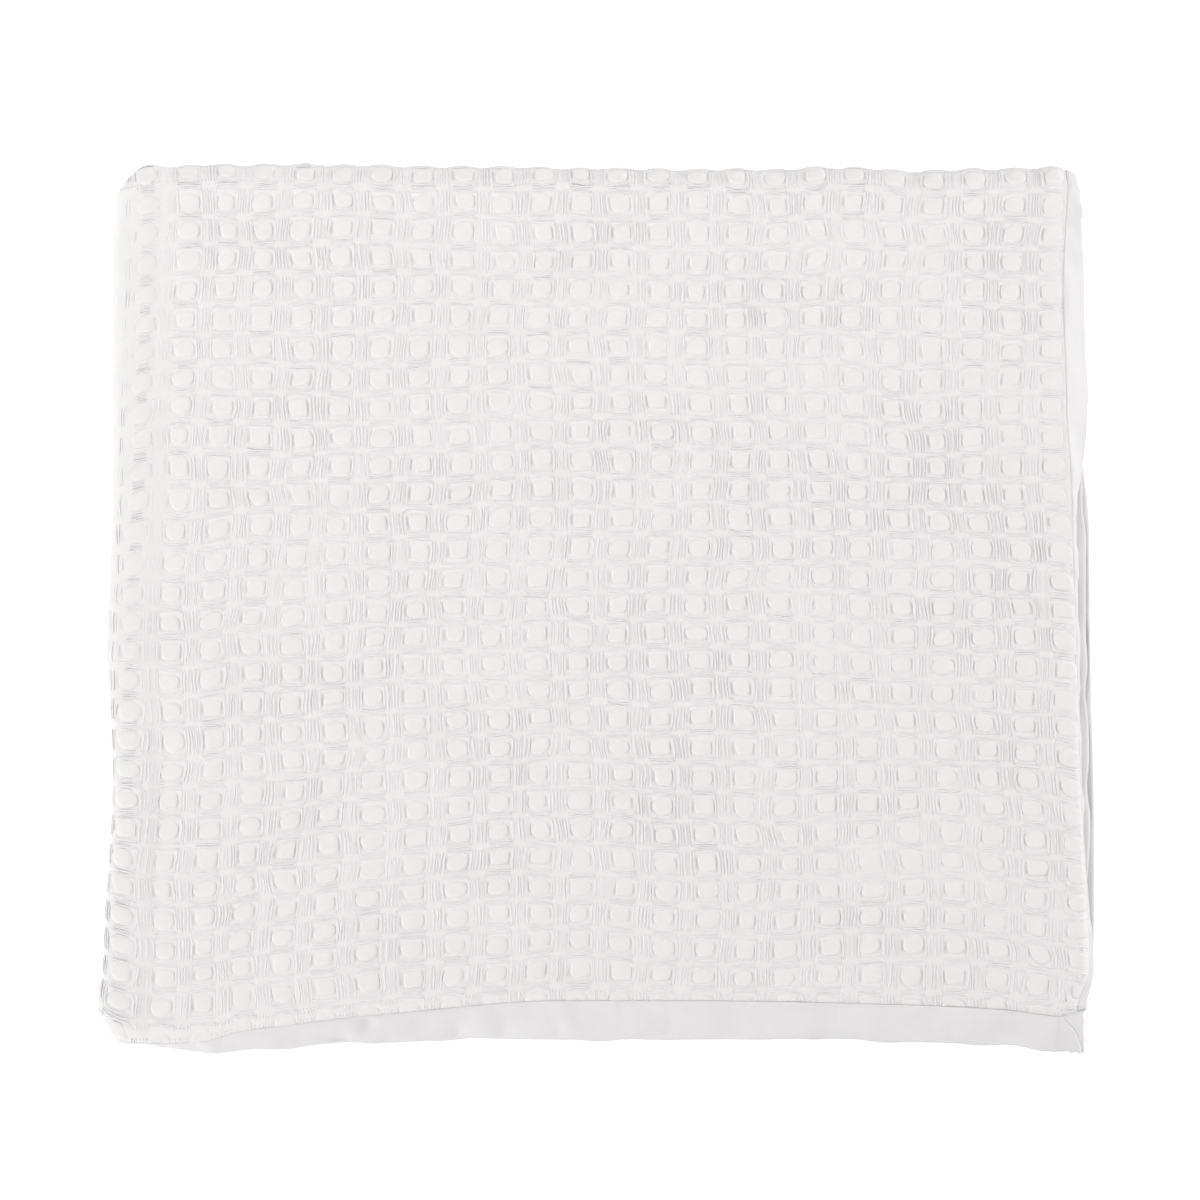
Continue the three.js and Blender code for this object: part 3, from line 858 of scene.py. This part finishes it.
# Squares: the flat plain weave between the pads, where the floats end
square = {
    "wide": 6.8,
    "tall": 4.0,
    "power": 4.0,
    "crown": 2.3,
    "rim": 1.8,
    "wideSizes": (0.85, 1.12),
    "tallSizes": (0.8, 1.12),
    "strayedAcross": 0.3,
    "strayedAlong": 0.25,
    "crownUneven": 0.06,
    "tiltUneven": 0.02,
    "sides": 12,
}
squareRings = table("share height", (1.0, 0.0), (0.88, 0.5), (0.7, 0.85), (0.4, 1.0))


def squareSizes(count, crown, rim):
    return {
        "wide": square["wide"] * random.uniform(*square["wideSizes"], count),
        "tall": square["tall"] * random.uniform(*square["tallSizes"], count),
        "power": square["power"],
        "shiftX": random.normal(0, square["strayedAcross"], count),
        "shiftY": random.normal(0, square["strayedAlong"], count),
        "crown": crown + random.normal(0, square["crownUneven"], count),
        "rim": rim,
        "tilt": random.normal(0, square["tiltUneven"], count),
        "wobble": random.uniform(0, fullTurn, count),
    }


u, v = cells(gapColumns, upperRows, 0.5, 0.5)
sizes = squareSizes(len(u), square["crown"], square["rim"])
squares = pillows("waffle_squares", True, u, v, sizes, squareRings, square["sides"])

floatSink = 0.3  # how far the floats go down into the cloth where it is smoothest


def floats(name, upper, u, v, path, thick):
    # Joined floats. path is [float, point, (across, along, lift)] and thick each one's radius.
    count, stepCount, _ = path.shape
    ahead = np.gradient(path[..., :2], axis=1)
    ahead /= np.maximum(np.linalg.norm(ahead, axis=-1, keepdims=True), 1e-6)
    sideways = np.stack([ahead[..., 1], -ahead[..., 0]], -1)
    corner = np.array([(1, 0), (0, 1), (-1, 0), (0, -1)])
    width = thick[:, None, None, None] * corner[None, None, :, :1]
    flat = path[:, :, None, :2] + sideways[:, :, None] * width
    high = path[:, :, None, 2] + thick[:, None, None] * corner[None, None, :, 1]
    points, spots = patternPoints(upper, u[:, None, None], v[:, None, None], flat[..., 0], flat[..., 1],
                                  high, floatSink)
    faces = []
    last = stepCount * 4 - 4
    for k in range(0, last, 4):
        for a in range(4):
            b = (a + 1) % 4
            faces.append((k + a, k + 4 + a, k + 4 + b, k + b))
    faces += [(0, 1, 2, 3), (last + 3, last + 2, last + 1, last)]
    faces = repeated(faces, count, stepCount * 4)
    return addPiece(name, "waffle_cloth", floatCotton, points, faces, spots)


def bundle(u, v, look):
    # Each cell's floats side by side: their spots, how far each lies off the middle, and a count
    each = look["count"]
    index = np.arange(each) - (each - 1) / 2
    return np.repeat(u, each), np.repeat(v, each), np.tile(index, len(u)), len(u) * each


# Long floats: bundles that run along the cloth between two squares
longFloat = {
    "count": 6,
    "pitch": 2.1,
    "reach": 8.2,
    "radius": 0.78,
    "lift": 1.98,
    "end": 1.6,
    "flare": 0.07,
    "liftUneven": 0.12,
    "pitchUneven": 0.1,
    "thickness": (0.85, 1.12),
    "bow": 0.3,
    "bowLimit": 1.2,
    "lean": 0.3,
    "wave": 0.25,
    "waveCount": 4.5,
    "endShare": 0.3,
}
# Cross floats: lower bundles that run across the cloth between two squares, above and below a pad
crossFloat = dict(longFloat, count=5, pitch=1.3, reach=9.0, radius=0.6, lift=1.95, end=1.7, flare=0.14)


def floatPaths(look, index, count, t):
    # How far off the middle each float lies at steps t from -1 to 1 along it, and its height
    offset = index * look["pitch"] + random.normal(0, look["pitchUneven"] * look["pitch"], count)
    aside = offset[:, None] * (1 - look["flare"] + 2 * look["flare"] * t ** 2 * (1.5 - np.abs(t)))
    bow = np.clip(random.standard_t(3, count) * look["bow"], -look["bowLimit"], look["bowLimit"])
    lean = random.normal(0, look["lean"], count)
    aside = aside + bow[:, None] * (1 - t ** 2) + lean[:, None] * t
    phase = random.uniform(0, fullTurn, count)
    aside = aside + look["wave"] * np.sin(look["waveCount"] * t + phase[:, None])
    rise = look["lift"] + random.normal(0, look["liftUneven"], count)
    lift = lerp(look["end"], rise[:, None], np.clip((1 - np.abs(t)) / look["endShare"], 0, 1))
    return aside, look["reach"] * t * np.ones((count, 1)), lift


def bundles(prefix, upper, looks, t, places):
    # The long and the cross floats of one leaf. places holds two lists of pattern spots.
    made = []
    for kind, look, spots in zip(("long", "cross"), looks, places):
        u, v, index, count = bundle(*spots, look)
        aside, along, lift = floatPaths(look, index, count, t)
        path = (aside, along, lift) if kind == "long" else (along, aside, lift)
        thick = look["radius"] * random.uniform(*look["thickness"], count)
        made.append(floats(f"{prefix}_{kind}_floats", upper, u, v, np.stack(path, -1), thick))
    return made


floatSteps = np.array([-1, -0.7, -0.25, 0.25, 0.7, 1])[None]
places = cells(gapColumns, upperRows, 0.5, 0), cells(padColumns, upperRows, 0, 0.5)
upperFloats = bundles("waffle", True, (longFloat, crossFloat), floatSteps, places)

# The lower leaf's pattern, in fewer and coarser shapes: one column on the left fold, and the rest on
# the near fold and the underside
lowerPad = {"crown": 2.35, "rim": 1.0, "sides": 12}
lowerSquare = {"crown": 2.0, "rim": 1.2, "sides": 8}
lowerRings = table("share height", (1.0, 0.0), (0.93, 0.75), (0.6, 1.0))
lowerLong = dict(longFloat, count=3, pitch=3.8, radius=1.3, lift=1.2, end=0.8)
lowerCross = dict(crossFloat, count=3, pitch=2.1, radius=0.9, lift=1.2, end=0.8)
lowerSteps = np.array([-1, -0.55, 0.55, 1])[None]
foldRows = (31, 87)
underRows = (58, 86)
# How far the lower pads' first column lies from the left fold, and how many columns there are
lowerColumns = {"padStart": 0.65, "gapStart": 1.15, "pads": 22, "gaps": 21}


def lowerCells(kind, vShift):
    # The pattern spots of the left fold's column and of all of the underside's. kind is pad or gap.
    uShift = lowerColumns[kind + "Start"]
    fold = cells((-1, 0), foldRows, uShift, vShift)
    under = cells((0, lowerColumns[kind + "s"]), underRows, uShift, vShift)
    return np.concatenate([fold[0], under[0]]), np.concatenate([fold[1], under[1]])


u, v = lowerCells("pad", 0)
sizes = padSizes(len(u), lowerPad["crown"], lowerPad["rim"])
lowerPads = pillows("lower_pads", False, u, v, sizes, lowerRings, lowerPad["sides"])
u, v = lowerCells("gap", 0.5)
sizes = squareSizes(len(u), lowerSquare["crown"], lowerSquare["rim"])
lowerSquares = pillows("lower_squares", False, u, v, sizes, lowerRings, lowerSquare["sides"])
places = lowerCells("gap", 0), lowerCells("pad", 0.5)
lowerFloats = bundles("lower", False, (lowerLong, lowerCross), lowerSteps, places)

# Bindings
binding = {
    "mitreShare": 0.998,  # how much of the way to the seam between them each mitred end goes
    "stitchAt": 2.5,  # the sewn line's distance from the seam, its depth and its reach
    "stitchDip": 0.35,
    "stitchReach": 0.8,
    "thinnest": 0.02,  # the least the rounded edges come down to, as the square of a share
    "creaseFade": 4,  # how far from its edges a strip takes to crease fully
    "sideCreased": 0.5,  # the share of the ends' creases that the two long sides have
    "waver": 0.06,  # how much the width changes along the edge, as a share
    "sideWaves": 25,  # how many changes there are along a panel, and across the stack
    "endWaves": 30,
}
waveRow = {"upper": 40, "lower": 80, "end": 120}  # each strip's own row of the drift
creases = (Drift(21, 26.0), 2.2), (Drift(22, 11.0), 1.6), (Drift(23, 6.0), 0.6)
edgeWaves = Drift(24, 1.0)
# The corner in sight: how much of the near end's width and of the side's width its mitre has crossed
cornerMitre = table("end side", (0, 0), (0.49, 0.71), (0.94, 0.93), (1, 1))
# The corner in sight, near which the creases fade, and the crumple at the far right corner
corner = {"x": 310, "y": -280, "reach": 45}
crumple = {"x": 313, "y": 275, "reach": 20, "height": 3.0, "base": 0.4}
crumpleFolds = Drift(25, 7.0)


def mitred(line, first, last, startReach, endReach):
    # Values along a strip, whose parts before its first and after its last seam follow the mitres
    started = np.minimum(line - first, 0) * startReach
    ended = np.maximum(line - last, 0) * endReach
    return np.clip(line, first, last) + (started + ended) * binding["mitreShare"]


def bindingPiece(name, place, at, share, creased):
    # A closed strip from grids of places and stations. share runs from the seam to the edge, and
    # creased is the share of the creases' height that this strip has.
    across = np.minimum(share, 1 - share) * cloth["bindingWidth"]
    half = cloth["bindingThickness"] / 2
    rounded = half * np.sqrt(np.clip(1 - (1 - np.clip(across / half, 0, 1)) ** 2, binding["thinnest"], 1))
    toStitch = (share * cloth["bindingWidth"] - binding["stitchAt"]) / binding["stitchReach"]
    seamDip = binding["stitchDip"] * np.exp(-toStitch ** 2)
    middle = clothMiddle(place, at)
    x = middle[..., 0]
    y = middle[..., 1]
    lumps = sum(size * drift.at(x + 0.5 * y, y - 0.5 * x) for drift, size in creases)
    toCorner = np.hypot(x - corner["x"], y - corner["y"]) / corner["reach"]
    lumps = creased * lumps * np.clip(toCorner, 0, 1)
    toCrumple = np.hypot(x - crumple["x"], y - crumple["y"]) / crumple["reach"]
    crumpled = crumple["height"] * np.exp(-toCrumple ** 2) * (crumpleFolds.at(x, y) + crumple["base"])
    bend = lumps * np.clip(across / binding["creaseFade"], 0, 1) + crumpled
    outer = clothPoint(place, at, rounded - seamDip + bend)
    inner = clothPoint(place, at, bend - rounded)
    points = np.stack([outer, inner], 2)
    spots = np.repeat(pieceSpots(place, at)[:, :, None], 2, axis=2)
    faces = sheetFaces(place.shape[0] - 1, place.shape[1] - 1).tolist()
    return addPiece(name + "_cloth", name, plainCotton, points, faces, spots)


def lineThrough(stretches):
    # Grid lines from a table of where each stretch ends and how many steps it has
    ends = stretches["end"]
    counts = stretches["count"][1:].astype(int)
    return np.concatenate([ends[:1]] + [steps(a, b, count) for a, b, count in zip(ends, ends[1:], counts)])


stretched = np.array([0, 0.02, 0.05, 0.09, 0.14, 0.2, 0.32, 0.46, 0.6, 0.74, 0.86, 0.93, 0.97, 1])
shares = lerp(0.004, 1, stretched)
mitreSteps = 6
stationLine = lineThrough(table("end count", (-2, 0), (-1, mitreSteps), (0, 8), (1, 160), (2, 16), (3, 60),
                                (4, 16), (5, 80), (6, mitreSteps)))
placeLine = lineThrough(table("end count", (-2, 0), (-1, mitreSteps), (turnPlace, 5), (-0.06, 189), (0, 8),
                              (1, 16), (2, 89), (3, mitreSteps)))
for upper in (True, False):
    order = shares[::-1] if upper else shares
    share, at = np.meshgrid(order, stationLine, indexing="ij")
    startReach = np.interp(share, cornerMitre["side"], cornerMitre["end"]) if upper else share
    at = mitred(at, -1, 5, startReach, share)
    row = waveRow["upper"] if upper else waveRow["lower"]
    waver = 1 + binding["waver"] * edgeWaves.at(at * binding["sideWaves"], row)
    place = -1 - share * waver if upper else 2 + share
    node = "binding_upper_side" if upper else "binding_lower_side"
    bindingPiece(node, place, at, share, binding["sideCreased"])
for near in (True, False):
    order = shares[::-1] if near else shares
    place, share = np.meshgrid(placeLine, order, indexing="ij")
    startReach = np.interp(share, cornerMitre["end"], cornerMitre["side"]) if near else share
    place = mitred(place, -1, 2, startReach, share)
    waver = 1 + binding["waver"] * edgeWaves.at(place * binding["endWaves"], waveRow["end"])
    at = -1 - share * waver if near else 5 + share
    node = "binding_near_end" if near else "binding_hidden_end"
    bindingPiece(node, place, at, share, 1)
print("bindings made")

# Floor, light and camera
studio = {
    "floorSize": 12,
    "floorColor": (0.9, 0.9, 0.9, 1),
    "floorGlow": 0.6,  # what the camera sees on top of the light, so that the floor is white
    "worldColor": (1, 1, 1, 1),
    "world": 0.385,
}
bpy.ops.mesh.primitive_plane_add(size=studio["floorSize"])
floor = bpy.context.object
floor.name = "floor"
floorMaterial = bpy.data.materials.new("floor_white")
floorMaterial.use_nodes = True
shader = floorMaterial.node_tree.nodes["Principled BSDF"]
shader.inputs["Base Color"].default_value = studio["floorColor"]
shader.inputs["Roughness"].default_value = 1.0
shader.inputs["Emission Color"].default_value = (1, 1, 1, 1)
ray = floorMaterial.node_tree.nodes.new("ShaderNodeLightPath")
glow = floorMaterial.node_tree.nodes.new("ShaderNodeMath")
glow.operation = "MULTIPLY"
glow.inputs[1].default_value = studio["floorGlow"]
floorMaterial.node_tree.links.new(ray.outputs["Is Camera Ray"], glow.inputs[0])
floorMaterial.node_tree.links.new(glow.outputs[0], shader.inputs["Emission Strength"])
floor.data.materials.append(floorMaterial)
floor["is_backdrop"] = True

world = bpy.data.worlds.new("studio")
bpy.context.scene.world = world
world.use_nodes = True
world.node_tree.nodes["Background"].inputs["Color"].default_value = studio["worldColor"]
world.node_tree.nodes["Background"].inputs["Strength"].default_value = studio["world"]

# Soft lamps that face the middle of the stack, in metres and watts
lamps = table(
    "x y z size power",
    (-2.4, 1.2, 1.3, 1.2, 28),
    (2.6, 0.5, 0.9, 1.2, 37.5),
    (-1.4, -2.4, 0.9, 1.2, 38),
    (-0.1, 0.6, 1.4, 1.2, 6.0),
)
for i in range(len(lamps["x"])):
    light = bpy.data.lights.new("studio_light", "AREA")
    light.shape = "DISK"
    light.size = lamps["size"][i]
    light.energy = lamps["power"][i]
    lamp = bpy.data.objects.new("studio_light", light)
    lamp.location = (lamps["x"][i], lamps["y"][i], lamps["z"][i])
    lamp.rotation_mode = "QUATERNION"
    lamp.rotation_quaternion = (-lamp.location).to_track_quat("-Z", "Y")
    bpy.context.collection.objects.link(lamp)

# Seen from straight above. width is what the picture spans at the top of the stack.
camera = {"height": 6.0, "width": 0.78, "x": 0.0013, "y": 0.0052, "top": 0.037, "sensor": 36.0}
cameraData = bpy.data.cameras.new("camera")
cameraData.sensor_width = camera["sensor"]
cameraData.lens = camera["sensor"] * (camera["height"] - camera["top"]) / camera["width"]
cameraObject = bpy.data.objects.new("camera", cameraData)
cameraObject.location = (camera["x"], camera["y"], camera["height"])
bpy.context.collection.objects.link(cameraObject)
bpy.context.scene.camera = cameraObject
bpy.context.scene.view_settings.view_transform = "Standard"
print("scene lit")

low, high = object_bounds()
sizes = {"cad": [list(corner) for corner in cadBox], "scene": [list(low), list(high)]}
